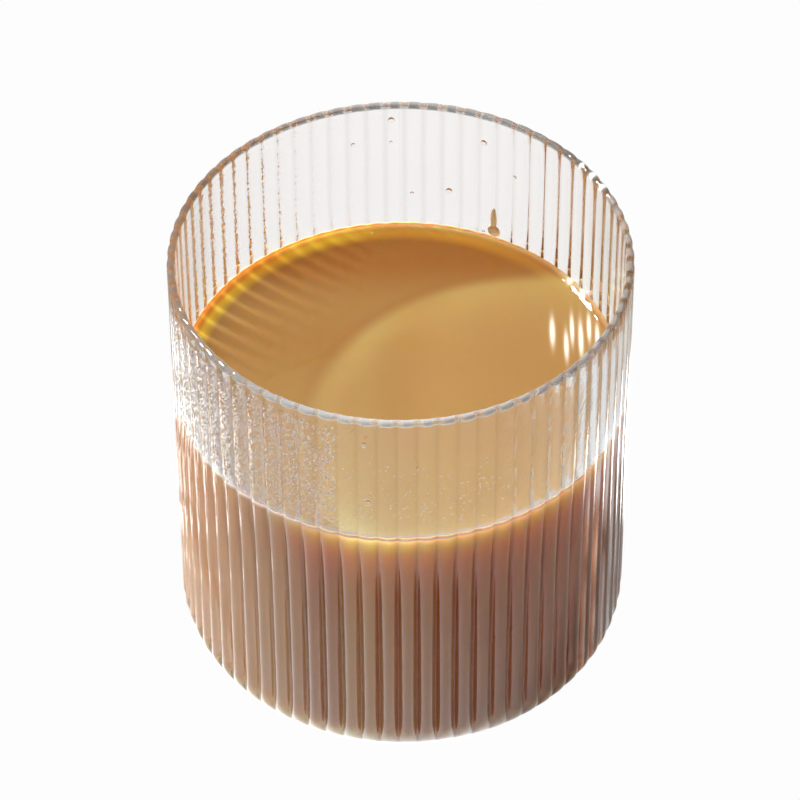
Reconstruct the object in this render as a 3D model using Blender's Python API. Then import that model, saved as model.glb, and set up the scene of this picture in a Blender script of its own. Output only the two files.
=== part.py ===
"""A straight-sided ribbed glass tumbler filled two thirds with assam milk tea.

Two pieces: the tumbler, one closed shell of glass with an open mouth, and the
milk tea, a solid body of liquid that stands in it up to the level of its
meniscus. Metres, +Z up, origin at the centre of the flat base.
"""

import math

import bmesh
import bpy

# --- driving dimensions (metres) -------------------------------------------
OUTER_RADIUS = 0.0400      # over the crests of the ribs
HEIGHT = 0.0885            # floor to the top of the lip
WALL = 0.00135             # thickness of the side wall at a rib's crest
THICKER = 0.00090          # how much thicker the side wall grows towards its foot
THIN_FROM = 0.052          # height above which it has thinned to WALL
BASE = 0.0022              # thickness of the glass under the drink
RIBS = 72                  # vertical ribs round the wall, one every 5 degrees
GROOVE_LOW = 0.00120       # how far the outside sinks between two ribs, at the foot
GROOVE_HIGH = 0.00025      # the same at the lip
FLUTE_DEPTH = 0.00010      # how far the inside swells behind each groove
GROOVE_PHASE = math.radians(-91.15)  # azimuth of the groove nearest the front

OUTER_CORNER = (0.0145, 0.0105)  # radial and vertical half axes of the foot's curve
INNER_CORNER = (0.0127, 0.0083)  # the same for the inside of the foot
LIP = WALL / 2             # the lip is a full round, fire polished

LEVEL = 0.0583             # surface of the milk tea
MENISCUS_RISE = 0.0018     # how far the drink climbs the glass at its edge
MENISCUS_WIDTH = 0.0065
CLEARANCE = 0.0003         # gap between the drink's body and the glass

FINE = RIBS * 4            # points round the outside: crest, two flanks, groove
COARSE = RIBS * 2          # points round the inside: crest and groove


def clear_scene():
    for obj in list(bpy.data.objects):
        bpy.data.objects.remove(obj, do_unlink=True)


def groove(azimuth):
    """1 in the middle of a groove, falling to 0 on the crest of a rib."""
    turn = (azimuth - GROOVE_PHASE) * RIBS / 2.0
    return abs(math.cos(turn)) ** 2.4


def ring(count, radius, z, depth):
    """One closed loop round the axis. Its radius sinks by depth in the grooves."""
    points = []
    for i in range(count):
        a = GROOVE_PHASE + 2.0 * math.pi * i / count
        r = radius - depth * groove(a)
        points.append((r * math.cos(a), r * math.sin(a), z))
    return points


def corner(radius, floor, axes, share):
    """A point on the foot's quarter ellipse. share 0 is at the wall, 1 at the floor."""
    t = share * math.pi / 2.0
    return (radius - axes[0] * (1.0 - math.cos(t)), floor + axes[1] * (1.0 - math.sin(t)))


def outside_rings():
    """From the edge of the flat base, up the foot's curve and the wall, to the top of the lip."""
    rings = []
    for share, count, fade in (
        (1.00, COARSE, 0.00),
        (0.76, COARSE, 0.00),
        (0.52, COARSE, 0.00),
        (0.26, FINE, 0.35),
        (0.00, FINE, 1.00),
    ):
        r, z = corner(OUTER_RADIUS, 0.0, OUTER_CORNER, share)
        rings.append(ring(count, r, z, GROOVE_LOW * fade))
    for degrees in (0, 35, 65, 90):
        t = math.radians(degrees)
        r = OUTER_RADIUS - LIP + LIP * math.cos(t)
        z = HEIGHT - LIP + LIP * math.sin(t)
        fade = 0.5 + 0.5 * math.cos(t)
        rings.append(ring(FINE, r, z, GROOVE_HIGH * fade + FLUTE_DEPTH * (1 - fade)))
    return rings


def inside_profile(inset, levels):
    """Radius and height of the inner surface, moved inwards by inset, at each corner share."""
    radius = OUTER_RADIUS - WALL - THICKER - inset
    floor = BASE + inset
    axes = (INNER_CORNER[0] - inset, INNER_CORNER[1] - inset)
    return [corner(radius, floor, axes, share) for share in levels]


def inside_rings():
    """From the inner side of the lip, down the wall, to the edge of the inner floor."""
    rings = []
    for degrees in (130, 180):
        t = math.radians(degrees)
        r = OUTER_RADIUS - LIP + LIP * math.cos(t)
        z = HEIGHT - LIP + LIP * math.sin(t)
        rings.append(ring(COARSE, r, z, FLUTE_DEPTH))
    rings.append(ring(COARSE, OUTER_RADIUS - WALL, THIN_FROM, FLUTE_DEPTH))
    shares = (0.0, 0.25, 0.5, 0.75, 1.0)
    for (r, z), share in zip(inside_profile(0.0, shares), shares):
        rings.append(ring(COARSE, r, z, FLUTE_DEPTH * (1.0 - share ** 2)))
    return rings


def drink_rings():
    """From the edge of the drink's flat underside, up to its meniscus and in to its level surface."""
    rings = []
    shares = (1.0, 0.75, 0.5, 0.25, 0.0)
    for (r, z), share in zip(inside_profile(CLEARANCE, shares), shares):
        rings.append(ring(COARSE, r, z, FLUTE_DEPTH * (1.0 - share ** 2)))
    edge = OUTER_RADIUS - WALL - CLEARANCE
    rings.append(ring(COARSE, edge, THIN_FROM, FLUTE_DEPTH))
    for inward, rise in ((0.0, 1.0), (0.2, 0.55), (0.5, 0.2), (1.0, 0.0)):
        rings.append(
            ring(
                COARSE,
                edge - MENISCUS_WIDTH * inward,
                LEVEL + MENISCUS_RISE * rise,
                FLUTE_DEPTH * (1.0 - inward),
            )
        )
    return rings


def stitch(bm, lower, upper):
    """Joins two loops with faces. One may have twice as many points as the other."""
    n, m = len(lower), len(upper)
    if n == m:
        for i in range(n):
            j = (i + 1) % n
            bm.faces.new((lower[i], lower[j], upper[j], upper[i]))
    elif m == 2 * n:
        for i in range(n):
            j, a, b, c = (i + 1) % n, 2 * i, 2 * i + 1, (2 * i + 2) % m
            bm.faces.new((lower[i], upper[b], upper[a]))
            bm.faces.new((lower[i], lower[j], upper[b]))
            bm.faces.new((lower[j], upper[c], upper[b]))
    else:
        for i in range(m):
            j, a, b, c = (i + 1) % m, 2 * i, 2 * i + 1, (2 * i + 2) % n
            bm.faces.new((lower[a], lower[b], upper[i]))
            bm.faces.new((lower[b], upper[j], upper[i]))
            bm.faces.new((lower[b], lower[c], upper[j]))


def cap(bm, loop, z, facing_up):
    """Closes a loop with a fan round a point on the axis."""
    centre = bm.verts.new((0.0, 0.0, z))
    for i in range(len(loop)):
        j = (i + 1) % len(loop)
        corner_points = (loop[i], loop[j], centre)
        bm.faces.new(corner_points if facing_up else corner_points[::-1])


def turned_body(name, rings, first_z, last_z, material):
    """A closed body from loops listed from its underside to its last inner loop."""
    bm = bmesh.new()
    loops = [[bm.verts.new(p) for p in points] for points in rings]
    cap(bm, loops[0], first_z, facing_up=False)
    for lower, upper in zip(loops, loops[1:]):
        stitch(bm, lower, upper)
    cap(bm, loops[-1], last_z, facing_up=True)
    bm.normal_update()
    mesh = bpy.data.meshes.new(name)
    bm.to_mesh(mesh)
    bm.free()
    mesh.shade_smooth()
    mesh.set_sharp_from_angle(angle=math.radians(50))
    mesh.materials.append(material)
    obj = bpy.data.objects.new(name, mesh)
    bpy.context.scene.collection.objects.link(obj)
    return obj


def glass_material():
    mat = bpy.data.materials.new("clear_glass")
    mat.use_nodes = True
    shader = mat.node_tree.nodes["Principled BSDF"]
    shader.inputs["Base Color"].default_value = (0.93, 0.94, 0.94, 1.0)
    shader.inputs["Roughness"].default_value = 0.03
    shader.inputs["Metallic"].default_value = 0.0
    shader.inputs["IOR"].default_value = 1.47
    shader.inputs["Transmission Weight"].default_value = 1.0
    return mat


def drink_material():
    mat = bpy.data.materials.new("milk_tea")
    mat.use_nodes = True
    shader = mat.node_tree.nodes["Principled BSDF"]
    shader.inputs["Base Color"].default_value = (0.52, 0.31, 0.13, 1.0)
    shader.inputs["Roughness"].default_value = 0.12
    shader.inputs["Metallic"].default_value = 0.0
    shader.inputs["IOR"].default_value = 1.34
    return mat


def main():
    clear_scene()
    whole = bpy.data.objects.new("glass_of_milk_tea", None)
    bpy.context.scene.collection.objects.link(whole)

    tumbler = turned_body(
        "tumbler", outside_rings() + inside_rings(), 0.0, BASE, glass_material()
    )
    milk_tea = turned_body(
        "milk_tea", drink_rings(), BASE + CLEARANCE, LEVEL, drink_material()
    )
    for obj in (tumbler, milk_tea):
        obj.parent = whole


main()
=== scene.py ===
"""Looks of the glass of milk tea: fine ribbed glass, the drink, what clings to the wall, light and camera.

All in metres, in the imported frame: origin at the centre of the base, +Z up, the
viewer on the -Y side.
"""

import math
import random

import bpy
import numpy as np
from mathutils import Matrix, Vector


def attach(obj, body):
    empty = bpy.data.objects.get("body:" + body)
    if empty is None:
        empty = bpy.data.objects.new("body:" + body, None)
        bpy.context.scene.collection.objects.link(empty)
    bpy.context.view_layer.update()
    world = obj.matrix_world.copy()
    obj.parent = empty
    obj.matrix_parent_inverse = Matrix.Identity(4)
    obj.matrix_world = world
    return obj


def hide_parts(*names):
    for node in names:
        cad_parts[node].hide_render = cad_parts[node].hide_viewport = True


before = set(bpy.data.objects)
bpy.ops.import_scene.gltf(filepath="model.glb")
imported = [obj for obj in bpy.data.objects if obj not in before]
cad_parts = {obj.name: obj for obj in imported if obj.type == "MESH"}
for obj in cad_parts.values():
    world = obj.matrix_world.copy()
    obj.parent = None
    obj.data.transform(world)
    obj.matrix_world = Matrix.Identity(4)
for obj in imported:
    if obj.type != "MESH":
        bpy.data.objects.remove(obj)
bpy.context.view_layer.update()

# --- sizes, the same as the construction's ----------------------------------
R_OUT = 0.0400
HEIGHT = 0.0885
WALL = 0.00135
BASE = 0.0022
RIBS = 72
PITCH = 2.0 * math.pi / RIBS
PHASE = math.radians(-91.15)
R_IN = R_OUT - WALL
LIP = WALL / 2
LEVEL = 0.0583
RISE = 0.0018  # of the drink's edge up the wall
SPREAD = 0.0022
OUTER_CORNER = (0.0145, 0.0105)
INNER_CORNER = (0.0127, 0.0083)
# the slope of a rib's face where it meets the groove, in degrees, by height: the ribs grow shallower towards the lip
SLOPES = ((0.0, 75), (0.014, 75), (0.030, 71), (0.046, 61), (0.055, 42), (0.060, 25), (0.066, 20.5), (0.075, 18.5), (0.084, 18), (HEIGHT - LIP, 15))
FLUTE = 0.00010
THICKER = 0.0009  # how much thicker the wall is at its foot


# --- light ----------------------------------------------------------------------
FLOOR_SEEN = 0.98      # the table as the eye sees it
FLOOR_THROUGH = 0.95   # the same through clear glass
FLOOR_BOUNCE = 1.00    # how much of the light on it the table sends back to the drink
FLOOR_SHADE = 0.34     # and a painted glow it sends back to the drink, even in the shadow
MIRRORED_FAR = 0.74    # painted reflection: the table's glow as the glass mirrors it, far off
MIRRORED_NEAR = 1.90   # and how much brighter it is by the foot of the glass
# painted shadow in the mirrored table, and the azimuth it falls towards
MIRRORED_SHADOW = 0.62
SHADOW_TOWARDS = -24.5
ROOM_TOWARDS = (-0.35, 0.55, 0.75)
ROOM_POWER = 1.5
ROOM_LOW = 0.25
ROOM_HIGH = 0.7
KEY_TOWARDS = (147.5, 47.5)
KEY_DISTANCE = 1.5
KEY_SIZE = 0.14
KEY_POWER = 62.0
KEY_THROUGH_GLASS = (0.88, 0.85, 0.82)
STREAKS = (0.52, 0.60, 0.80)
CARD_MIRRORED = 300.0
CARD_THROUGH = 6.0
MIST_DEPTH = 0.00034
# painted light in the mirrored table: bright patches beside the glass on the right and in spots on the left
MIRRORED_RIGHT = 5.0
# where the sun, coming in over the rim, lands on the drink: a circle about this point
LIT_CENTRE = tuple(
    -(HEIGHT - LEVEL) / math.tan(math.radians(KEY_TOWARDS[1])) * turn(math.radians(KEY_TOWARDS[0])) for turn in (math.cos, math.sin)
)
# painted highlights on the drink, bright streaks of thrown light and reflections: x, y, half width, half length
PAINTED_STREAKS = ((0.0268, 0.0120, 0.0004, 0.0030), (0.0292, 0.0085, 0.00035, 0.0030), (0.0303, 0.0125, 0.0003, 0.0030), (0.0318, 0.0100, 0.00035, 0.0036), (0.0333, 0.0125, 0.0003, 0.0026), (0.0347, 0.0098, 0.0003, 0.0026), (0.0302, 0.0236, 0.0005, 0.0007), (0.0324, 0.0206, 0.0005, 0.0008))
TEA_COLOUR = (0.258, 0.147, 0.044)
# painted shade: the drink's side, seen through the wall, is given a darker, deeper colour than its top
TEA_SIDE_SHADED = (0.207, 0.073, 0.0145)


# --- helpers ------------------------------------------------------------------
def smooth(a, b, x):
    t = np.clip((np.asarray(x, float) - a) / (b - a), 0.0, 1.0)
    return t * t * (3.0 - 2.0 * t)


def rib_angle(theta):
    """Azimuth in ribs, with the slight unevenness of a blown glass."""
    t = np.asarray(theta, float) - PHASE
    t = np.arctan2(np.sin(t), np.cos(t))
    return t / PITCH + 0.10 * np.tanh(t / math.radians(16)) * np.cos(t / 2) ** 2


def groove(theta, sharp):
    """1 along a groove, 0 on a rib's crest. A higher sharp makes the groove narrower."""
    return np.abs(np.cos(np.pi * rib_angle(theta))) ** sharp


def rib(theta, z):
    """How deep a rib's face lies under its crest at height z. Its slope grows evenly from the crest to the groove."""
    u = rib_angle(theta)
    across = 2.0 * np.abs(u - np.floor(u) - 0.5)
    foot = 0.02
    across = across - foot * np.exp((across - 1.0) / foot) * 0.5
    lean = math.radians(np.interp(z, *zip(*SLOPES)))
    return -np.log(np.cos(across * lean)) / lean * R_OUT * PITCH / 2


def inside(z):
    """The radius of the inside wall."""
    return R_IN - THICKER * max(0.0, min(1.0, (0.052 - z) / 0.040))


def new_object(name, verts, faces, material, smooth_shading=True):
    mesh = bpy.data.meshes.new(name)
    mesh.from_pydata([tuple(v) for v in verts], [], faces)
    mesh.validate()
    if smooth_shading:
        mesh.shade_smooth()
    mesh.materials.append(material)
    obj = bpy.data.objects.new(name, mesh)
    bpy.context.scene.collection.objects.link(obj)
    return obj


def turned(name, rings, first, last, material):
    """A closed body from rings of equal count. first and last are the heights of the caps' centres."""
    n = len(rings[0])
    verts = [tuple(p) for ring in rings for p in ring]
    faces = []
    for k in range(len(rings) - 1):
        a, b = k * n, (k + 1) * n
        for i in range(n):
            j = (i + 1) % n
            faces.append((a + i, a + j, b + j, b + i))
    low, high = len(verts), len(verts) + 1
    verts += [(0.0, 0.0, first), (0.0, 0.0, last)]
    top = (len(rings) - 1) * n
    for i in range(n):
        j = (i + 1) % n
        faces.append((j, i, low))
        faces.append((top + i, top + j, high))
    return new_object(name, verts, faces, material)


# --- materials ------------------------------------------------------------------
def material(name):
    mat = bpy.data.materials.new(name)
    mat.use_nodes = True
    tree = mat.node_tree
    return mat, tree, tree.nodes["Principled BSDF"], tree.nodes["Material Output"]


def node(tree, kind, **settings):
    made = tree.nodes.new(kind)
    for key, value in settings.items():
        if hasattr(made, key):
            setattr(made, key, value)
        else:
            made.inputs[key.replace("_", " ")].default_value = value
    return made


def maths(tree, operation, a, b=None, clamp=False):
    made = tree.nodes.new("ShaderNodeMath")
    made.operation = operation
    made.use_clamp = clamp
    for socket, value in zip(made.inputs, (a, b)):
        if value is None:
            continue
        if isinstance(value, (int, float)):
            socket.default_value = value
        else:
            tree.links.new(value, socket)
    return made.outputs[0]


def ramp(tree, value, stops, interpolation="LINEAR"):
    made = tree.nodes.new("ShaderNodeValToRGB")
    made.color_ramp.interpolation = interpolation
    made.color_ramp.elements[0].position = stops[0][0]
    made.color_ramp.elements[0].color = (*stops[0][1], 1)
    made.color_ramp.elements[1].position = stops[-1][0]
    made.color_ramp.elements[1].color = (*stops[-1][1], 1)
    for position, colour in stops[1:-1]:
        element = made.color_ramp.elements.new(position)
        element.color = (*colour, 1)
    tree.links.new(value, made.inputs[0])
    return made.outputs[0]


def glass_material():
    mat, tree, shader, out = material("clear_glass")
    shader.inputs["Base Color"].default_value = (0.985, 0.99, 0.99, 1)
    shader.inputs["Roughness"].default_value = 0.0
    shader.inputs["IOR"].default_value = 1.47
    shader.inputs["Transmission Weight"].default_value = 1.0
    place = node(tree, "ShaderNodeTexCoord").outputs["Object"]
    split = node(tree, "ShaderNodeSeparateXYZ")
    tree.links.new(place, split.inputs[0])
    turn = maths(tree, "ARCTAN2", split.outputs[0], maths(tree, "MULTIPLY", split.outputs[1], -1.0))
    radius = maths(tree, "SQRT", maths(tree, "ADD", maths(tree, "MULTIPLY", split.outputs[0], split.outputs[0]), maths(tree, "MULTIPLY", split.outputs[1], split.outputs[1])))

    def window(value, low, high, rise):
        parts = []
        for edge, sign in ((low, 1.0), (high, -1.0)):
            made = tree.nodes.new("ShaderNodeMapRange")
            made.interpolation_type = "SMOOTHSTEP"
            made.inputs["From Min"].default_value = edge - sign * rise
            made.inputs["From Max"].default_value = edge
            tree.links.new(value, made.inputs["Value"])
            parts.append(made.outputs[0])
        return maths(tree, "MULTIPLY", *parts)

    def degrees(low, high, rise):
        return window(turn, math.radians(low), math.radians(high), math.radians(rise))

    # painted sheen: the fire-polished lip is made cloudy, most at the front and the back, for the light it shows there
    lip = tree.nodes.new("ShaderNodeMapRange")
    lip.interpolation_type = "SMOOTHSTEP"
    lip.inputs["From Min"].default_value = HEIGHT - 0.0011
    lip.inputs["From Max"].default_value = HEIGHT - 0.0006
    tree.links.new(split.outputs[2], lip.inputs["Value"])
    front_back = maths(tree, "POWER", maths(tree, "DIVIDE", maths(tree, "ABSOLUTE", split.outputs[1]), R_OUT), 4.0)
    counted = maths(tree, "SUBTRACT", maths(tree, "ARCTAN2", split.outputs[1], split.outputs[0]), PHASE)
    crest = maths(tree, "MULTIPLY", maths(tree, "SUBTRACT", 1.0, maths(tree, "COSINE", maths(tree, "MULTIPLY", counted, float(RIBS)))), 0.5)
    uneven = node(tree, "ShaderNodeTexNoise", Scale=260.0, Detail=0.0)
    tree.links.new(place, uneven.inputs["Vector"])
    scallop = maths(tree, "MULTIPLY", maths(tree, "SUBTRACT", maths(tree, "ADD", crest, uneven.outputs[0]), 0.72), 2.6, clamp=True)
    cloudy = maths(tree, "ADD", maths(tree, "MULTIPLY", front_back, maths(tree, "ADD", maths(tree, "MULTIPLY", scallop, 0.30), 0.34)), maths(tree, "ADD", maths(tree, "MULTIPLY", scallop, 0.14), 0.02))
    # painted highlight: short bright dashes on the lip's crests at the back right, where the sun glints on the rim
    painted_rim_glint = maths(tree, "MULTIPLY", degrees(116, 126, 1.0), maths(tree, "POWER", crest, 3.0))
    cloudy = maths(tree, "MULTIPLY", lip.outputs[0], maths(tree, "ADD", cloudy, maths(tree, "MULTIPLY", painted_rim_glint, 0.45)), clamp=True)
    # mist on the clear wall, crinkled by ribs it lies between, thickest at the front left
    clear_zone = window(split.outputs[2], LEVEL + RISE + 0.0015, HEIGHT - 0.0030, 0.0015)
    place_of_mist = maths(tree, "ADD", maths(tree, "MULTIPLY", degrees(-72, -18, 10), 0.30), maths(tree, "MULTIPLY", degrees(26, 70, 6), 0.06))
    place_of_mist = maths(tree, "ADD", place_of_mist, maths(tree, "MULTIPLY", degrees(-19, 26, 6), 0.12))
    place_of_mist = maths(tree, "ADD", place_of_mist, maths(tree, "MULTIPLY", degrees(-175, -110, 12), 0.30), clamp=True)
    mist = maths(tree, "MULTIPLY", clear_zone, place_of_mist)
    # the grooves above the drink turn cloudy white, narrow lines widening into a foot just above it
    above = maths(tree, "SUBTRACT", split.outputs[2], LEVEL + RISE)
    wide = maths(tree, "EXPONENT", maths(tree, "MULTIPLY", maths(tree, "MAXIMUM", above, 0.0), -1 / 0.0020))
    furrow = maths(tree, "SUBTRACT", maths(tree, "SUBTRACT", 1.0, crest), maths(tree, "SUBTRACT", 0.955, maths(tree, "MULTIPLY", wide, 0.20)))
    wobble = node(tree, "ShaderNodeTexNoise", Scale=420.0, Detail=0.0)
    tree.links.new(place, wobble.inputs["Vector"])
    furrow = maths(tree, "ADD", furrow, maths(tree, "MULTIPLY", maths(tree, "SUBTRACT", wobble.outputs[0], 0.5), 0.24))
    film = maths(tree, "MULTIPLY", furrow, 16.0, clamp=True)
    film = maths(tree, "MULTIPLY", film, window(above, 0.0009, HEIGHT - LEVEL - RISE - 0.0040, 0.0010))
    where = maths(tree, "ADD", maths(tree, "MULTIPLY", degrees(-62, -24, 6), 1.0), maths(tree, "MULTIPLY", degrees(31, 58, 4), 0.95), clamp=True)
    film = maths(tree, "MULTIPLY", film, maths(tree, "MULTIPLY", where, 0.36))
    # painted glints: the grooves at the right edge are made cloudy white, standing in for light running along the wall
    painted_groove_glint = maths(tree, "MULTIPLY", maths(tree, "SUBTRACT", maths(tree, "SUBTRACT", 1.0, crest), 0.62), 5.0, clamp=True)
    painted_groove_glint = maths(tree, "MULTIPLY", painted_groove_glint, maths(tree, "MULTIPLY", degrees(57, 92, 7), window(split.outputs[2], 0.006, LEVEL + RISE, 0.004)))
    streaky = node(tree, "ShaderNodeTexNoise", Scale=1.0, Detail=0.0)
    long_way = node(tree, "ShaderNodeCombineXYZ")
    tree.links.new(maths(tree, "MULTIPLY", turn, 28.0), long_way.inputs[0])
    tree.links.new(maths(tree, "MULTIPLY", split.outputs[2], 70.0), long_way.inputs[1])
    tree.links.new(long_way.outputs[0], streaky.inputs["Vector"])
    painted_groove_glint = maths(tree, "MULTIPLY", painted_groove_glint, maths(tree, "MULTIPLY", maths(tree, "SUBTRACT", streaky.outputs[0], 0.23), 1.15), clamp=True)
    cloudy = maths(tree, "ADD", maths(tree, "ADD", cloudy, painted_groove_glint), film, clamp=True)
    tinge = maths(tree, "MULTIPLY", film, 1.1)
    tint = node(tree, "ShaderNodeCombineColor")
    # painted shade: the glass is darkened along each groove
    painted_groove_shade = maths(tree, "POWER", maths(tree, "SUBTRACT", 1.0, crest), 5.0)
    # painted shade: below the drink's edge the grooves are tinted a deep, warm brown from the front round to the right
    warmer = maths(tree, "MULTIPLY", maths(tree, "POWER", maths(tree, "SUBTRACT", 1.0, crest), 2.6), degrees(-7, 60, 8))
    warmer = maths(tree, "MULTIPLY", warmer, window(above, -0.056, -0.016, 0.010))
    # painted shade: the cloudy lip is greyed, more at the back, less at the right and at the painted dashes
    painted_lip_grey = maths(tree, "MULTIPLY", lip.outputs[0], maths(tree, "ADD", maths(tree, "MULTIPLY", scallop, 0.30), 0.33))
    painted_lip_grey = maths(tree, "ADD", painted_lip_grey, maths(tree, "MULTIPLY", lip.outputs[0], maths(tree, "MULTIPLY", window(split.outputs[1], 0.020, 1.0, 0.015), 0.12)))
    painted_lip_grey = maths(tree, "MULTIPLY", painted_lip_grey, maths(tree, "SUBTRACT", 1.0, painted_rim_glint))
    painted_lip_grey = maths(tree, "MULTIPLY", painted_lip_grey, maths(tree, "SUBTRACT", 1.0, maths(tree, "MULTIPLY", degrees(55, 112, 10), 0.55)))
    # painted shade: at either side, where the clear wall is seen edge on, it is greyed a little
    painted_edge_grey = maths(tree, "ADD", degrees(-112, -50, 14), degrees(52, 112, 12), clamp=True)
    painted_edge_grey = maths(tree, "MULTIPLY", painted_edge_grey, window(above, 0.0, 1.0, 0.002))
    warm = maths(tree, "MULTIPLY", degrees(-60, -19, 3), window(above, 0.002, HEIGHT - LEVEL - RISE - 0.003, 0.002))
    # the glass's colour, with painted shade along the grooves, in the grooves below the drink, at either side and on
    # the lip; also a warm tint at the front left above the drink, and the cloudy groove lines
    for full, deep, brown, edge, cast, socket in zip((0.985, 0.99, 0.99), (0.075, 0.090, 0.100), (0.13, 0.62, 0.80), (0.11, 0.085, 0.07), (0.045, 0.095, 0.105), tint.inputs):
        clean = maths(tree, "SUBTRACT", full, maths(tree, "MULTIPLY", painted_groove_shade, deep))
        clean = maths(tree, "SUBTRACT", clean, maths(tree, "MULTIPLY", warmer, brown))
        clean = maths(tree, "SUBTRACT", clean, maths(tree, "MULTIPLY", painted_edge_grey, edge))
        clean = maths(tree, "SUBTRACT", clean, maths(tree, "MULTIPLY", warm, cast))
        tree.links.new(maths(tree, "SUBTRACT", clean, maths(tree, "MAXIMUM", painted_lip_grey, tinge)), socket)
    tree.links.new(tint.outputs[0], shader.inputs["Base Color"])
    tree.links.new(maths(tree, "SUBTRACT", 1.0, cloudy), shader.inputs["Transmission Weight"])
    grain = node(tree, "ShaderNodeTexNoise", Scale=1.0, Detail=1.0, Roughness=0.5)
    around = maths(tree, "MULTIPLY", turn, R_OUT)
    lay = node(tree, "ShaderNodeCombineXYZ")
    tree.links.new(maths(tree, "MULTIPLY", maths(tree, "ADD", around, maths(tree, "MULTIPLY", split.outputs[2], -0.55)), 1500.0), lay.inputs[0])
    tree.links.new(maths(tree, "MULTIPLY", split.outputs[2], 560.0), lay.inputs[1])
    tree.links.new(maths(tree, "MULTIPLY", radius, 100.0), lay.inputs[2])
    tree.links.new(lay.outputs[0], grain.inputs["Vector"])
    sweep = node(tree, "ShaderNodeTexNoise", Scale=90.0, Detail=0.0)
    tree.links.new(place, sweep.inputs["Vector"])
    height = maths(tree, "ADD", maths(tree, "MULTIPLY", maths(tree, "MULTIPLY", grain.outputs[0], mist), MIST_DEPTH), maths(tree, "MULTIPLY", sweep.outputs[0], 0.00006))
    bump = node(tree, "ShaderNodeBump", Strength=1.0, Distance=1.0)
    tree.links.new(height, bump.inputs["Height"])
    tree.links.new(bump.outputs[0], shader.inputs["Normal"])
    speckle = maths(tree, "MULTIPLY", maths(tree, "MULTIPLY", mist, grain.outputs[0]), 0.03)
    tree.links.new(speckle, shader.inputs["Roughness"])
    path = node(tree, "ShaderNodeLightPath")
    clear = node(tree, "ShaderNodeBsdfTransparent")
    # each rib gathers the sun into a streak on the drink, strongest where it stands low on the wall
    wave = maths(tree, "POWER", crest, 5.0)
    low_down = maths(tree, "EXPONENT", maths(tree, "MULTIPLY", maths(tree, "MAXIMUM", maths(tree, "SUBTRACT", split.outputs[2], LEVEL), 0.0), -1 / 0.011))
    wave = maths(tree, "MULTIPLY", maths(tree, "SUBTRACT", wave, 0.246), low_down)
    streaks = node(tree, "ShaderNodeCombineColor")
    for through, swing, socket in zip(KEY_THROUGH_GLASS, STREAKS, streaks.inputs):
        tree.links.new(maths(tree, "ADD", maths(tree, "MULTIPLY", wave, swing), through), socket)
    tree.links.new(streaks.outputs[0], clear.inputs["Color"])
    mix = node(tree, "ShaderNodeMixShader")
    tree.links.new(path.outputs["Is Shadow Ray"], mix.inputs[0])
    tree.links.new(shader.outputs[0], mix.inputs[1])
    tree.links.new(clear.outputs[0], mix.inputs[2])
    tree.links.new(mix.outputs[0], out.inputs["Surface"])
    return mat


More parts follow.
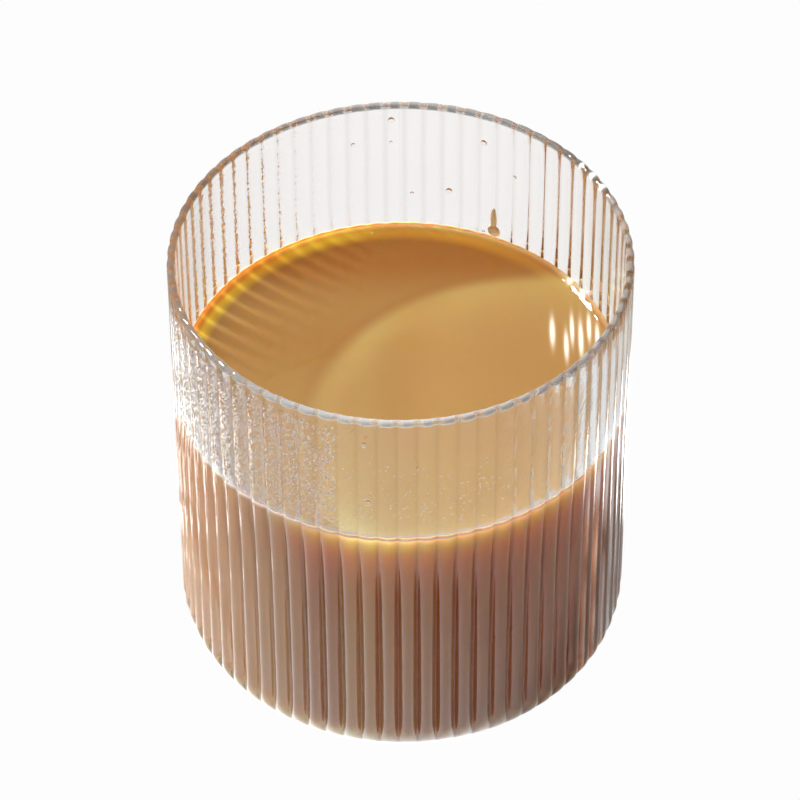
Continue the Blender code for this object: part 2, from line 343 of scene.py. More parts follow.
def tea_material():
    """Milk tea, with light and shade painted into its colour: paler and warmer where light leaks through it, under its
    surface and along the lit rim; darker to the far side, lighter in the shade, brighter along the sunlit edge, with
    painted streaks and a painted sheen at its edge.
    """
    mat, tree, shader, out = material("milk_tea")
    shader.inputs["IOR"].default_value = 1.34
    shader.subsurface_method = "RANDOM_WALK"
    shader.inputs["Subsurface Weight"].default_value = 1.0
    shader.inputs["Subsurface Radius"].default_value = (1.0, 0.40, 0.10)
    shader.inputs["Subsurface Scale"].default_value = 0.003
    place = node(tree, "ShaderNodeTexCoord").outputs["Object"]
    split = node(tree, "ShaderNodeSeparateXYZ")
    tree.links.new(place, split.inputs[0])
    x, y, z = split.outputs
    radius = maths(tree, "SQRT", maths(tree, "ADD", maths(tree, "MULTIPLY", x, x), maths(tree, "MULTIPLY", y, y)))
    azimuth = maths(tree, "ARCTAN2", x, maths(tree, "MULTIPLY", y, -1.0))  # 0 at the front, rising to the right
    from_front = maths(tree, "MULTIPLY", azimuth, 1.0 / math.pi)
    inward = maths(tree, "SUBTRACT", R_IN, radius)
    below = maths(tree, "SUBTRACT", LEVEL + RISE, z)

    def fall(distance, length):
        return maths(tree, "EXPONENT", maths(tree, "MULTIPLY", maths(tree, "MAXIMUM", distance, 0.0), -1.0 / length))

    def window(value, low, high, rise):
        """1 between low and high, falling smoothly to 0 over rise beyond them."""
        parts = []
        for edge, sign in ((low, 1.0), (high, -1.0)):
            made = tree.nodes.new("ShaderNodeMapRange")
            made.interpolation_type = "SMOOTHSTEP"
            made.inputs["From Min"].default_value = edge - sign * rise
            made.inputs["From Max"].default_value = edge
            tree.links.new(value, made.inputs["Value"])
            parts.append(made.outputs[0])
        return maths(tree, "MULTIPLY", *parts)

    side = window(inward, -1.0, 0.0008, 0.0008)
    lit_front = window(from_front, -0.10, 0.33, 0.125)
    lit_back = window(from_front, -1.05, -0.52, 0.12)
    lit_back = maths(tree, "ADD", lit_back, window(from_front, 0.95, 1.05, 0.28), clamp=True)
    left = window(from_front, -0.88, -0.50, 0.12)
    corner = window(from_front, -0.78, -0.50, 0.06)
    # painted light: the thinnest of its climbing edge at the back is painted paler again, where light comes through it
    outer = maths(tree, "MULTIPLY", window(inward, -1.0, 0.0005, 0.0012), window(inward, 0.00005, 1.0, 0.0001))
    outer = maths(tree, "MULTIPLY", maths(tree, "MULTIPLY", outer, lit_back), window(below, -1.0, 0.0024, 0.0006))
    outer = maths(tree, "MULTIPLY", outer, maths(tree, "SUBTRACT", 1.0, maths(tree, "MULTIPLY", left, 0.45)))
    channels = []
    # painted light: along the edge of the sunlit part the drink is painted brighter
    cx, cy = LIT_CENTRE
    dx, dy = maths(tree, "SUBTRACT", x, cx), maths(tree, "SUBTRACT", y, cy)
    lit = maths(tree, "SUBTRACT", R_OUT - LIP, maths(tree, "SQRT", maths(tree, "ADD", maths(tree, "MULTIPLY", dx, dx), maths(tree, "MULTIPLY", dy, dy))))
    painted_sunlit_edge = maths(tree, "MULTIPLY", window(lit, 0.0005, 1.0, 0.0035), fall(lit, 0.009))
    painted_sunlit_edge = maths(tree, "MULTIPLY", painted_sunlit_edge, maths(tree, "ADD", maths(tree, "MULTIPLY", window(x, -0.004, 1.0, 0.012), 0.7), 0.3))
    # painted highlights: bright streaks on the drink at the far right, for the light the ribs throw and reflections
    # near the wall
    painted_streaks = None
    for at_x, at_y, across, along in PAINTED_STREAKS:
        gx = maths(tree, "MULTIPLY", maths(tree, "SUBTRACT", x, at_x), 1.0 / across)
        gy = maths(tree, "MULTIPLY", maths(tree, "SUBTRACT", y, at_y), 1.0 / along)
        made = maths(tree, "EXPONENT", maths(tree, "MULTIPLY", maths(tree, "ADD", maths(tree, "MULTIPLY", gx, gx), maths(tree, "MULTIPLY", gy, gy)), -1.0))
        painted_streaks = made if painted_streaks is None else maths(tree, "MAXIMUM", painted_streaks, made)
    sunlit = window(lit, 0.0008, 1.0, 0.0054)
    # painted shade: the drink is painted darker towards the far side, less so in the shade at the left
    far = maths(tree, "MULTIPLY", maths(tree, "ADD", y, 0.020), 1 / 0.050, clamp=True)
    shaded = maths(tree, "MULTIPLY", maths(tree, "SUBTRACT", 1.0, sunlit), window(y, 0.018, 0.020, 0.010))
    far = maths(tree, "MULTIPLY", far, maths(tree, "SUBTRACT", 1.0, maths(tree, "MULTIPLY", shaded, 0.27)))
    far = maths(tree, "MULTIPLY", far, maths(tree, "SUBTRACT", 1.0, maths(tree, "MULTIPLY", maths(tree, "MULTIPLY", sunlit, window(x, 0.012, 1.0, 0.012)), 0.20)))
    far = maths(tree, "MULTIPLY", far, window(z, LEVEL - 0.001, 1.0, 0.001))
    # painted shade: within the sunlit part, towards the left, the drink is painted darker
    near = maths(tree, "MULTIPLY", window(x, -1.0, -0.004, 0.012), window(lit, 0.006, 1.0, 0.006))
    lit_left = window(from_front, -0.50, -0.205, 0.10)
    for base, low, under, length, ring, back, piped, glow, more, amber, pale, sunlit_dimming, shade_lift, painted_left_light, arc in zip(TEA_COLOUR, TEA_SIDE_SHADED, (0.79, 0.79, 0.52), (0.0048, 0.0019, 0.0008), (1.82, 2.25, 1.45), (0.76, 0.44, 0.18), (0.235, 0.128, 0.066), (0.31, 0.98, 1.80), (1.30, 1.68, 1.0), (0.90, 0.66, 0.50), (0.94, 1.36, 2.1), (0.11, 0.19, 0.24), (0.10, 0.27, 0.45), (1.46, 2.05, 3.50), (0.90, 0.80, 0.66)):
        # painted shade: darker towards the far side
        base = maths(tree, "ADD", maths(tree, "MULTIPLY", far, base * (back - 1.0)), base)
        base = maths(tree, "MULTIPLY", base, maths(tree, "SUBTRACT", 1.0, maths(tree, "MULTIPLY", near, sunlit_dimming)))
        # painted light: in the shade the drink is painted lighter
        base = maths(tree, "MULTIPLY", base, maths(tree, "ADD", 1.0, maths(tree, "MULTIPLY", maths(tree, "SUBTRACT", 1.0, sunlit), shade_lift)))
        # painted shade and light: under the wall the drink's side takes its darker side colour, painted lighter on the
        # left where light falls
        low = maths(tree, "ADD", maths(tree, "MULTIPLY", lit_left, low * (painted_left_light - 1.0)), low)
        base = maths(tree, "ADD", maths(tree, "MULTIPLY", side, maths(tree, "SUBTRACT", low, base)), base)
        # painted light: just under its edge the drink is painted paler, most at the front, where light leaks down from
        # the lit top
        leak = maths(tree, "MULTIPLY", maths(tree, "MULTIPLY", fall(below, length), window(inward, -1.0, 0.0002, 0.0008)), maths(tree, "ADD", maths(tree, "MULTIPLY", lit_front, 0.9), 0.1))
        value = maths(tree, "ADD", maths(tree, "MULTIPLY", leak, maths(tree, "SUBTRACT", under, base)), base)
        value = maths(tree, "MINIMUM", value, 0.95)
        # painted light: a bright, warm ring near the wall at the back and the left, where light comes in through the
        # side
        edge = maths(tree, "MULTIPLY", maths(tree, "MULTIPLY", window(inward, 0.0006, 0.0014, 0.0022), lit_back), window(below, -1.0, 0.0024, 0.0006))
        edge = maths(tree, "MULTIPLY", edge, window(inward, 0.0003, 1.0, 0.0002))
        value = maths(tree, "MULTIPLY", value, maths(tree, "ADD", maths(tree, "MULTIPLY", edge, ring - 1.0), 1.0))
        value = maths(tree, "MULTIPLY", value, maths(tree, "ADD", maths(tree, "MULTIPLY", maths(tree, "MULTIPLY", edge, left), more - 1.0), 1.0))
        value = maths(tree, "MULTIPLY", value, maths(tree, "ADD", maths(tree, "MULTIPLY", maths(tree, "MULTIPLY", edge, corner), amber - 1.0), 1.0))
        # the top of its side at the back, which the lip and the clear ribs pipe to the eye
        thin = maths(tree, "MULTIPLY", window(inward, -1.0, 0.0001, 0.0003), lit_back)
        thin = maths(tree, "MULTIPLY", thin, window(below, -1.0, 0.0018, 0.0060))
        value = maths(tree, "ADD", value, maths(tree, "MULTIPLY", thin, maths(tree, "SUBTRACT", piped, value)))
        value = maths(tree, "MULTIPLY", value, maths(tree, "ADD", maths(tree, "MULTIPLY", outer, pale - 1.0), 1.0))
        value = maths(tree, "MULTIPLY", value, maths(tree, "ADD", maths(tree, "MULTIPLY", painted_sunlit_edge, glow), 1.0))
        value = maths(tree, "ADD", value, maths(tree, "MULTIPLY", painted_streaks, maths(tree, "SUBTRACT", arc, value)))
        channels.append(value)
    # painted highlight: the thin climbing edge is painted paler at the front, most where it touches the glass, for the
    # meniscus' sheen
    painted_meniscus_sheen = maths(tree, "MULTIPLY", window(z, LEVEL + RISE - 0.0007, LEVEL + 0.01, 0.0003), window(from_front, -0.35, 0.42, 0.15))
    touching = window(inward, -1.0, -0.00006, 0.0001)
    made = node(tree, "ShaderNodeCombineColor")
    for value, pale, paler, socket in zip(channels, (0.24, 0.195, 0.165), (0.38, 0.37, 0.33), made.inputs):
        pale = maths(tree, "ADD", maths(tree, "MULTIPLY", touching, paler - pale), pale)
        mixed = maths(tree, "ADD", value, maths(tree, "MULTIPLY", painted_meniscus_sheen, maths(tree, "SUBTRACT", pale, value)))
        tree.links.new(mixed, socket)
    tree.links.new(made.outputs[0], shader.inputs["Base Color"])
    # its skin is not quite even
    skin = node(tree, "ShaderNodeTexNoise", Scale=160.0, Detail=1.0)
    tree.links.new(place, skin.inputs["Vector"])
    tree.links.new(maths(tree, "ADD", maths(tree, "MULTIPLY", skin.outputs[0], 0.04), 0.01), shader.inputs["Roughness"])
    bump = node(tree, "ShaderNodeBump", Strength=1.0, Distance=1.0)
    tree.links.new(maths(tree, "MULTIPLY", skin.outputs[0], 0.00003), bump.inputs["Height"])
    tree.links.new(bump.outputs[0], shader.inputs["Normal"])
    return mat


# --- the tumbler ----------------------------------------------------------------
def build_glass():
    around = RIBS * 16
    theta = PHASE + 2 * math.pi * np.arange(around) / around
    cos, sin = np.cos(theta), np.sin(theta)
    in_groove = groove(theta, 2.0)
    rings = []

    def add(radius, z, out_share, in_depth):
        r = radius - out_share * rib(theta, z) - in_depth * in_groove
        rings.append(np.stack([r * cos, r * sin, np.full_like(r, z)], 1))

    for share in np.linspace(1.0, 0.0, 17):
        t = share * math.pi / 2
        z = OUTER_CORNER[1] * (1 - math.sin(t))
        add(R_OUT - OUTER_CORNER[0] * (1 - math.cos(t)), z, float(smooth(0.0040, 0.0130, z)), 0.0)
    for z in np.linspace(OUTER_CORNER[1], HEIGHT - LIP, 28)[1:-1]:
        add(R_OUT, z, 1.0, 0.0)
    for t in np.linspace(0, math.pi, 11):
        fade = 0.5 + 0.5 * math.cos(t)
        add(
            R_OUT - LIP + LIP * math.cos(t),
            HEIGHT - LIP + LIP * math.sin(t),
            fade,
            FLUTE * (1 - fade),
        )
    top, foot = HEIGHT - LIP, BASE + INNER_CORNER[1]
    for z in np.linspace(top, foot, 12)[1:-1]:
        add(inside(z), z, 0.0, FLUTE)
    for share in np.linspace(0.0, 1.0, 11):
        t = share * math.pi / 2
        add(
            inside(foot) - INNER_CORNER[0] * (1 - math.cos(t)),
            BASE + INNER_CORNER[1] * (1 - math.sin(t)),
            0.0,
            FLUTE * (1 - share**2),
        )
    return turned("ribbed_glass", rings, 0.0, BASE, GLASS)


def build_tea():
    """The drink, reaching a little into the glass below its level, with its edge climbing the wall."""
    around = RIBS * 8
    theta = PHASE + 2 * math.pi * np.arange(around) / around
    cos, sin = np.cos(theta), np.sin(theta)
    in_groove = groove(theta, 2.0)
    reach = 0.00012
    rings = []

    def add(radius, z, depth):
        r = radius - depth * in_groove
        rings.append(np.stack([r * cos, r * sin, np.full_like(r, z)], 1))

    for share in np.linspace(1.0, 0.0, 17):
        t = share * math.pi / 2
        add(
            inside(BASE + INNER_CORNER[1]) + reach - (INNER_CORNER[0] + reach) * (1 - math.cos(t)),
            BASE - reach + (INNER_CORNER[1] + reach) * (1 - math.sin(t)),
            FLUTE * (1 - share**2),
        )
    foot = BASE + INNER_CORNER[1]
    for z in np.linspace(foot, LEVEL + RISE - 0.0004, 24)[1:]:
        add(inside(z) + reach, z, FLUTE)
    for d in (0.0, 0.00005, 0.00012, 0.0002, 0.0003, 0.00045, 0.0006, 0.0008, 0.001, 0.0012, 0.0014, 0.0017, 0.002, 0.0024, 0.0028, 0.0033, 0.0038, 0.0045, 0.0055, 0.0065, 0.008, 0.01, 0.013, 0.017, 0.022, 0.03):
        add(R_IN + reach - d, LEVEL + RISE * math.exp(-d / SPREAD), FLUTE * math.exp(-d / 0.0015))
    return turned("tea_in_glass", rings, BASE - reach, LEVEL, TEA)


def wet_material(name, colour, clearness, grain):
    """Water or a film of tea: clear, a little uneven, and no hindrance to the key light."""
    mat, tree, shader, out = material(name)
    shader.inputs["IOR"].default_value = 1.33
    shader.inputs["Transmission Weight"].default_value = clearness
    place = node(tree, "ShaderNodeTexCoord").outputs["Object"]
    noise = node(tree, "ShaderNodeTexNoise", Scale=grain, Detail=0.0)
    tree.links.new(place, noise.inputs["Vector"])
    made = node(tree, "ShaderNodeCombineColor")
    for value, socket in zip(colour, made.inputs):
        tree.links.new(maths(tree, "SUBTRACT", value, maths(tree, "MULTIPLY", noise.outputs[0], 0.04)), socket)
    tree.links.new(made.outputs[0], shader.inputs["Base Color"])
    tree.links.new(maths(tree, "MULTIPLY", noise.outputs[0], 0.03), shader.inputs["Roughness"])
    bump = node(tree, "ShaderNodeBump", Strength=1.0, Distance=1.0)
    tree.links.new(maths(tree, "MULTIPLY", noise.outputs[0], 0.00002), bump.inputs["Height"])
    tree.links.new(bump.outputs[0], shader.inputs["Normal"])
    path = node(tree, "ShaderNodeLightPath")
    clear = node(tree, "ShaderNodeBsdfTransparent")
    mix = node(tree, "ShaderNodeMixShader")
    tree.links.new(path.outputs["Is Shadow Ray"], mix.inputs[0])
    tree.links.new(shader.outputs[0], mix.inputs[1])
    tree.links.new(clear.outputs[0], mix.inputs[2])
    tree.links.new(mix.outputs[0], out.inputs["Surface"])
    return mat


class Domes:
    """Drops that share one mesh, each a closed dome whose base is sunk a little into what it sits on."""

    def __init__(self):
        self.verts, self.faces = [], []

    def add(self, centre, out, up, wide, tall, depth, segments=10, rings=3, droop=0.0):
        """wide and tall are half sizes. droop pulls the dome's bulge down its length."""
        out, up = Vector(out).normalized(), Vector(up).normalized()
        side = up.cross(out)
        centre = Vector(centre) - out * 0.00004
        first = len(self.verts)
        for k in range(rings):
            t = k / rings * math.pi / 2
            for i in range(segments):
                a = 2 * math.pi * i / segments
                sag = -droop * tall * math.sin(t)
                point = centre + side * (wide * math.cos(t) * math.cos(a)) + up * (tall * math.cos(t) * math.sin(a) + sag) + out * (depth * math.sin(t) + (0.00004 if k else 0.0))
                self.verts.append(tuple(point))
        base, tip = len(self.verts), len(self.verts) + 1
        self.verts.append(tuple(centre))
        self.verts.append(tuple(centre - up * (droop * tall) + out * (depth + 0.00004)))
        for k in range(rings):
            for i in range(segments):
                j = (i + 1) % segments
                a, b = first + k * segments + i, first + k * segments + j
                if k < rings - 1:
                    self.faces.append((a, b, b + segments, a + segments))
                else:
                    self.faces.append((a, b, tip))
        for i in range(segments):
            j = (i + 1) % segments
            self.faces.append((first + j, first + i, base))

    def on_wall(self, azimuth, z, wide, tall, depth, outside=False, **more):
        """azimuth in degrees. On the inside of the wall unless outside."""
        a = math.radians(azimuth)
        radius = R_OUT - float(rib(a, z)) if outside else inside(z) - FLUTE * float(groove(a, 2.0))
        turn = 1.0 if outside else -1.0
        tilt = more.pop("tilt", 0.0)
        up = Vector((-math.sin(a) * tilt, math.cos(a) * tilt, 1.0))
        self.add((radius * math.cos(a), radius * math.sin(a), z), (turn * math.cos(a), turn * math.sin(a), 0.0), up, wide, tall, depth, **more)

    def build(self, name, mat):
        return new_object(name, self.verts, self.faces, mat)


def build_droplets():
    """Condensation on the inside of the wall: dense beads at the front left, finer and sparser ones further round."""
    rng = random.Random(7)
    domes = Domes()
    for k in range(-15, 6):
        left = k < -3
        for column in range(5):
            phase = k + 0.5 + (column - 2) * 0.155
            z = LEVEL + RISE + 0.0018
            while z < HEIGHT - 0.0028:
                z += 0.00046 if left else 0.00060
                azimuth = math.degrees(PHASE + PITCH * (phase + rng.uniform(-0.05, 0.05)))
                turn = azimuth + 90.0
                if left:
                    there = float(smooth(-74, -66, turn) * smooth(-14, -19, turn)) * float(smooth(HEIGHT - 0.002, HEIGHT - 0.0045, z)) * 0.62
                else:
                    there = 0.20 * float(smooth(0.0800, 0.0700, z)) * float(smooth(30, 20, turn))
                if rng.random() > there:
                    continue
                size = rng.uniform(0.75, 1.25) * (0.00019 if left else 0.00012)
                domes.on_wall(azimuth, z + rng.uniform(-0.0001, 0.0001), size, size * rng.uniform(1.1, 1.8), size * rng.uniform(0.45, 0.75), tilt=rng.uniform(0.2, 1.0), segments=7, rings=2)
    return domes.build("wall_droplets", WATER)


def build_drops():
    """The few larger drops, on the back of the wall inside and on the front outside."""
    domes = Domes()
    for azimuth, z, size in ((92.3, 0.0850, 0.00062), (92.4, 0.0797, 0.00030), (102.5, 0.0799, 0.00042), (67.4, 0.0821, 0.00060), (58.2, 0.0764, 0.00038), (76.9, 0.0687, 0.00062), (86.9, 0.0673, 0.00036)):
        domes.on_wall(azimuth, z, size, size * 1.05, size * 0.20, segments=24, rings=8)
    for azimuth, z, size in ((-86.1, 0.0775, 0.00034), (-99.0, 0.0831, 0.00045), (-98.2, 0.0692, 0.00045)):
        domes.on_wall(azimuth, z, size, size * 1.35, size * 0.40, outside=True, segments=24, rings=8, droop=0.15)
    return domes.build("wall_drops", WATER)


def build_bubbles():
    """Small bubbles on the drink near its far side."""
    domes = Domes()
    for at_x, at_y, size in ((-0.0050, 0.0369, 0.00034), (0.0031, 0.0322, 0.00026), (-0.0005, 0.0260, 0.00024), (0.0133, 0.0259, 0.00028), (0.0151, 0.0366, 0.00034), (-0.0035, 0.0355, 0.00022), (0.0012, 0.0290, 0.00020)):
        d = R_IN - math.hypot(at_x, at_y)
        z = LEVEL + RISE * math.exp(-max(d, 0.0) / SPREAD)
        domes.add((at_x, at_y, z), (0, 0, 1), (0, 1, 0), size, size, size * 0.75, segments=20, rings=7)
    return domes.build("tea_bubbles", WATER)


def build_smear():
    """A little tea left on the wall above the drink, at the back on the right: a thin tongue on a wider foot."""
    domes = Domes()
    domes.on_wall(64.3, 0.0641, 0.00062, 0.0030, 0.00007, segments=24, rings=6)
    domes.on_wall(64.2, 0.0615, 0.00125, 0.0014, 0.00008, segments=24, rings=6)
    return domes.build("tea_smear", SMEAR)


GLASS = glass_material()
TEA = tea_material()
WATER = wet_material("water_drops", (0.99, 0.99, 0.99), 1.0, 900.0)
SMEAR = wet_material("tea_film", (0.90, 0.71, 0.45), 0.45, 700.0)
glass = build_glass()
tea = build_tea()
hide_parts("tumbler")
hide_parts("milk_tea")
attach(glass, "root")
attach(tea, "root")
for piece, slot in ((build_droplets(), "clear_glass"), (build_drops(), "clear_glass"), (build_bubbles(), "clear_glass"), (build_smear(), "milk_tea")):
    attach(piece, "root")


# --- floor, light and camera -------------------------------------------------------
def build_floor():
    """A white table top. The eye sees it evenly pale; what the glass mirrors of it is a painted glow of light and
    shadow; the light it sends back to the drink is the key's, drink's shadow and all, with a painted glow added.
    """
    mat = bpy.data.materials.new("studio_floor")
    mat.use_nodes = True
    tree = mat.node_tree
    tree.nodes.clear()
    out = tree.nodes.new("ShaderNodeOutputMaterial")
    path = tree.nodes.new("ShaderNodeLightPath")
    glow = tree.nodes.new("ShaderNodeEmission")
    through = maths(tree, "MULTIPLY", path.outputs["Is Transmission Ray"], FLOOR_SEEN - FLOOR_THROUGH)
    tree.links.new(maths(tree, "SUBTRACT", FLOOR_SEEN, through), glow.inputs["Strength"])
    diffuse = tree.nodes.new("ShaderNodeBsdfDiffuse")
    shade = tree.nodes.new("ShaderNodeEmission")
    shade.inputs["Strength"].default_value = FLOOR_SHADE
    lit = tree.nodes.new("ShaderNodeAddShader")
    tree.links.new(diffuse.outputs[0], lit.inputs[0])
    tree.links.new(shade.outputs[0], lit.inputs[1])
    diffuse.inputs["Color"].default_value = (FLOOR_BOUNCE, FLOOR_BOUNCE, FLOOR_BOUNCE, 1)

    place = tree.nodes.new("ShaderNodeNewGeometry").outputs["Position"]
    split = tree.nodes.new("ShaderNodeSeparateXYZ")
    tree.links.new(place, split.inputs[0])
    x, y, _ = split.outputs
    off = maths(tree, "SQRT", maths(tree, "ADD", maths(tree, "MULTIPLY", x, x), maths(tree, "MULTIPLY", y, y)))
    off = maths(tree, "MAXIMUM", maths(tree, "SUBTRACT", off, R_OUT), 0.0)
    bright = maths(tree, "EXPONENT", maths(tree, "MULTIPLY", off, -1 / 0.030))
    bright = maths(tree, "ADD", maths(tree, "MULTIPLY", bright, MIRRORED_NEAR), MIRRORED_FAR)
    azimuth = maths(tree, "ARCTAN2", x, maths(tree, "MULTIPLY", y, -1.0))
    share = maths(tree, "ADD", maths(tree, "MULTIPLY", azimuth, 0.5 / math.pi), 0.5)
    stops = [(-180, 0.50), (-150, 0.90), (-120, 1.05), (-80, 1.25), (-45, 1.25), (-15, 1.12), (0, 1.0), (26, 0.76), (38, 0.62), (60, 0.54), (85, 0.85), (105, 1.10), (130, 1.0), (155, 0.8), (180, 0.55)]
    turn = ramp(tree, share, [((a + 180) / 360, (v / 1.6,) * 3) for a, v in stops])
    bright = maths(tree, "MULTIPLY", bright, maths(tree, "MULTIPLY", turn, 1.6))
    # painted shadow: in the mirrored table, the glass shades it close by at the back left
    # painted light: near the foot on the right, and in spots on the left, the mirrored table is made far brighter, for
    # the sunlight that the glass gathers
    def between(value, low, high, rise):
        parts = []
        for edge, sign in ((low, 1.0), (high, -1.0)):
            made = tree.nodes.new("ShaderNodeMapRange")
            made.interpolation_type = "SMOOTHSTEP"
            made.inputs["From Min"].default_value = edge - sign * rise
            made.inputs["From Max"].default_value = edge
            tree.links.new(value, made.inputs["Value"])
            parts.append(made.outputs[0])
        return maths(tree, "MULTIPLY", *parts)

    close = maths(tree, "EXPONENT", maths(tree, "MULTIPLY", off, -1 / 0.020))
    close = maths(tree, "MULTIPLY", close, between(azimuth, math.radians(-155), math.radians(-92), math.radians(16)))
    bright = maths(tree, "MULTIPLY", bright, maths(tree, "SUBTRACT", 1.0, maths(tree, "MULTIPLY", close, 0.85)))
    beside = maths(tree, "ADD", between(azimuth, math.radians(-160), math.radians(-75), math.radians(14)), between(azimuth, math.radians(72), math.radians(160), math.radians(14)))
    beside = maths(tree, "MULTIPLY", beside, between(off, 0.047, 9.0, 0.006))
    bright = maths(tree, "MULTIPLY", bright, maths(tree, "SUBTRACT", 1.0, maths(tree, "MULTIPLY", beside, 0.60)))
    spots = tree.nodes.new("ShaderNodeTexNoise")
    spots.inputs["Scale"].default_value = 95.0
    spots.inputs["Detail"].default_value = 1.0
    tree.links.new(place, spots.inputs["Vector"])
    spots = between(spots.outputs[0], 0.60, 2.0, 0.07)
    patch = maths(tree, "MULTIPLY", between(azimuth, math.radians(82), math.radians(150), math.radians(14)), between(off, 0.006, 0.041, 0.007))
    patch = maths(tree, "MULTIPLY", patch, maths(tree, "ADD", maths(tree, "MULTIPLY", spots, 1.2), 0.5))
    dashes = maths(tree, "MULTIPLY", between(azimuth, math.radians(-125), math.radians(-80), math.radians(10)), between(off, 0.020, 0.060, 0.010))
    dashes = maths(tree, "MULTIPLY", maths(tree, "MULTIPLY", dashes, spots), 1.3)
    bright = maths(tree, "ADD", bright, maths(tree, "MULTIPLY", maths(tree, "ADD", patch, dashes), MIRRORED_RIGHT))
    # painted shadow: the drink's shadow in the mirrored table
    towards = math.radians(SHADOW_TOWARDS)
    across = maths(tree, "SUBTRACT", maths(tree, "MULTIPLY", x, math.sin(towards)), maths(tree, "MULTIPLY", y, math.cos(towards)))
    parts = []
    for low, high in ((-0.044, -0.034), (0.030, 0.015), (-0.02, 0.01)):
        made = tree.nodes.new("ShaderNodeMapRange")
        made.interpolation_type = "SMOOTHSTEP"
        made.inputs["From Min"].default_value = low
        made.inputs["From Max"].default_value = high
        tree.links.new(x if low == -0.02 else across, made.inputs["Value"])
        parts.append(made.outputs[0])
    shadow = maths(tree, "MULTIPLY", maths(tree, "MULTIPLY", parts[0], parts[1]), parts[2])
    bright = maths(tree, "ADD", bright, maths(tree, "MULTIPLY", shadow, maths(tree, "SUBTRACT", MIRRORED_SHADOW, bright)))
    seen_in_glass = tree.nodes.new("ShaderNodeEmission")
    tree.links.new(bright, seen_in_glass.inputs["Strength"])

    scattered = maths(tree, "MINIMUM", path.outputs["Diffuse Depth"], 1.0)
    mirrored = maths(tree, "MULTIPLY", path.outputs["Is Glossy Ray"], maths(tree, "SUBTRACT", 1.0, path.outputs["Is Transmission Ray"]))
    first = tree.nodes.new("ShaderNodeMixShader")
    tree.links.new(mirrored, first.inputs[0])
    tree.links.new(glow.outputs[0], first.inputs[1])
    tree.links.new(seen_in_glass.outputs[0], first.inputs[2])
    mix = tree.nodes.new("ShaderNodeMixShader")
    tree.links.new(scattered, mix.inputs[0])
    tree.links.new(first.outputs[0], mix.inputs[1])
    tree.links.new(lit.outputs[0], mix.inputs[2])
    tree.links.new(mix.outputs[0], out.inputs["Surface"])
    size = 3.0
    floor = new_object(
        "studio_floor",
        [(-size, -size, -0.0001), (size, -size, -0.0001), (size, size, -0.0001), (-size, size, -0.0001)],
        [(0, 1, 2, 3)],
        mat,
        smooth_shading=False,
    )


def area_light(name, direction, elevation, distance, size, power, size_y=None, colour=(1, 1, 1)):
    """A soft box aimed at the drink. direction is the azimuth in degrees it stands at."""
    a, e = math.radians(direction), math.radians(elevation)
    target = Vector((0, 0, 0.055))
    place = target + distance * Vector((math.cos(e) * math.cos(a), math.cos(e) * math.sin(a), math.sin(e)))
    data = bpy.data.lights.new(name, "AREA")
    data.shape = "RECTANGLE"
    data.size = size
    data.size_y = size_y or size
    data.energy = power
    data.color = colour
    lamp = bpy.data.objects.new(name, data)
    lamp.location = place
    lamp.rotation_euler = (target - place).to_track_quat("-Z", "Y").to_euler()
    bpy.context.scene.collection.objects.link(lamp)
    return lamp


def build_sun_card(lamp):
    """What mirrors see where the key light stands: two window panes. It lights nothing."""
    mat = bpy.data.materials.new("sun_card")
    mat.use_nodes = True
    tree = mat.node_tree
    tree.nodes.clear()
    out = tree.nodes.new("ShaderNodeOutputMaterial")
    glow = tree.nodes.new("ShaderNodeEmission")
    path = tree.nodes.new("ShaderNodeLightPath")
    first = maths(tree, "SUBTRACT", 1.0, maths(tree, "MINIMUM", path.outputs["Diffuse Depth"], 1.0))
    crossed = path.outputs["Is Transmission Ray"]
    strength = maths(tree, "ADD", maths(tree, "MULTIPLY", crossed, CARD_THROUGH - CARD_MIRRORED), CARD_MIRRORED)
    strength = maths(tree, "MULTIPLY", strength, maths(tree, "MULTIPLY", first, path.outputs["Is Glossy Ray"]))
    tree.links.new(strength, glow.inputs["Strength"])
    tree.links.new(glow.outputs[0], out.inputs["Surface"])
    mat.cycles.emission_sampling = "NONE"
    verts, faces = [], []
    for low, high in ((-0.13, -0.02), (0.02, 0.16)):
        k = len(verts)
        verts += [(low, -0.10, 0), (high, -0.10, 0), (high, 0.10, 0), (low, 0.10, 0)]
        faces.append((k, k + 1, k + 2, k + 3))
    card = new_object("sun_card", verts, faces, mat, smooth_shading=False)
    card.matrix_world = lamp.matrix_world
    card.location = lamp.location
    card.rotation_euler = lamp.rotation_euler
    card.visible_camera = False
    card.visible_diffuse = False
    card.visible_shadow = False


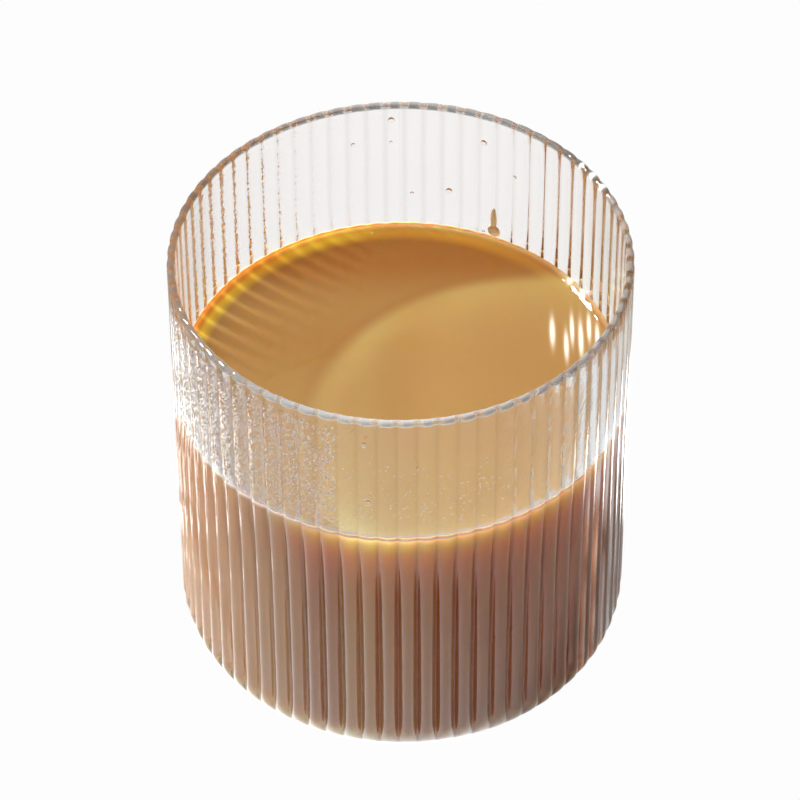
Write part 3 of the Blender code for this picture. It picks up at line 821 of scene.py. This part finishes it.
def build_world():
    """A pale room, brightest high up behind the glass and dim on the viewer's side."""
    world = bpy.data.worlds.new("studio")
    bpy.context.scene.world = world
    world.use_nodes = True
    tree = world.node_tree
    background = tree.nodes["Background"]
    background.inputs["Color"].default_value = (1, 1, 1, 1)
    coords = tree.nodes.new("ShaderNodeTexCoord")
    dot = tree.nodes.new("ShaderNodeVectorMath")
    dot.operation = "DOT_PRODUCT"
    tree.links.new(coords.outputs["Generated"], dot.inputs[0])
    dot.inputs[1].default_value = Vector(ROOM_TOWARDS).normalized()
    lift = maths(tree, "MULTIPLY", maths(tree, "ADD", dot.outputs["Value"], 1.0), 0.5)
    lift = maths(tree, "POWER", lift, ROOM_POWER)
    strength = maths(tree, "ADD", maths(tree, "MULTIPLY", lift, ROOM_HIGH - ROOM_LOW), ROOM_LOW)
    path = tree.nodes.new("ShaderNodeLightPath")
    seen = path.outputs["Is Camera Ray"]
    strength = maths(tree, "ADD", maths(tree, "MULTIPLY", strength, maths(tree, "SUBTRACT", 1.0, seen)), seen)
    tree.links.new(strength, background.inputs["Strength"])
    world.cycles.sampling_method = "NONE"


def build_camera():
    lens_px, distance, elevation = 4795.0, 20.495 * R_OUT, 0.7639
    pitch, yaw, roll = 0.7938, -0.0004, -0.0054
    place = Vector((0, -distance * math.cos(elevation), HEIGHT + distance * math.sin(elevation)))
    forward = Vector((math.sin(yaw) * math.cos(pitch), math.cos(yaw) * math.cos(pitch), -math.sin(pitch)))
    right = Vector((math.cos(yaw), -math.sin(yaw), 0))
    up = right.cross(forward)
    c, s = math.cos(roll), math.sin(roll)
    right, up = c * right + s * up, c * up - s * right
    data = bpy.data.cameras.new("camera")
    data.sensor_width = 36.0
    data.lens = 36.0 * lens_px / 800.0
    data.clip_start, data.clip_end = 0.05, 20.0
    camera = bpy.data.objects.new("camera", data)
    camera.matrix_world = Matrix(
        (
            (right.x, up.x, -forward.x, place.x),
            (right.y, up.y, -forward.y, place.y),
            (right.z, up.z, -forward.z, place.z),
            (0, 0, 0, 1),
        )
    )
    bpy.context.scene.collection.objects.link(camera)
    bpy.context.scene.camera = camera


build_floor()
build_world()
build_camera()
key = area_light("key", *KEY_TOWARDS, KEY_DISTANCE, KEY_SIZE, KEY_POWER)
key.visible_transmission = False
key.visible_glossy = False
build_sun_card(key)

scene = bpy.context.scene
scene.view_settings.view_transform = "Standard"
scene.view_settings.look = "None"
scene.cycles.max_bounces = 32
scene.cycles.glossy_bounces = 32
scene.cycles.transmission_bounces = 32
scene.cycles.transparent_max_bounces = 24
scene.cycles.use_adaptive_sampling = False
scene.cycles.sample_clamp_indirect = 4.0
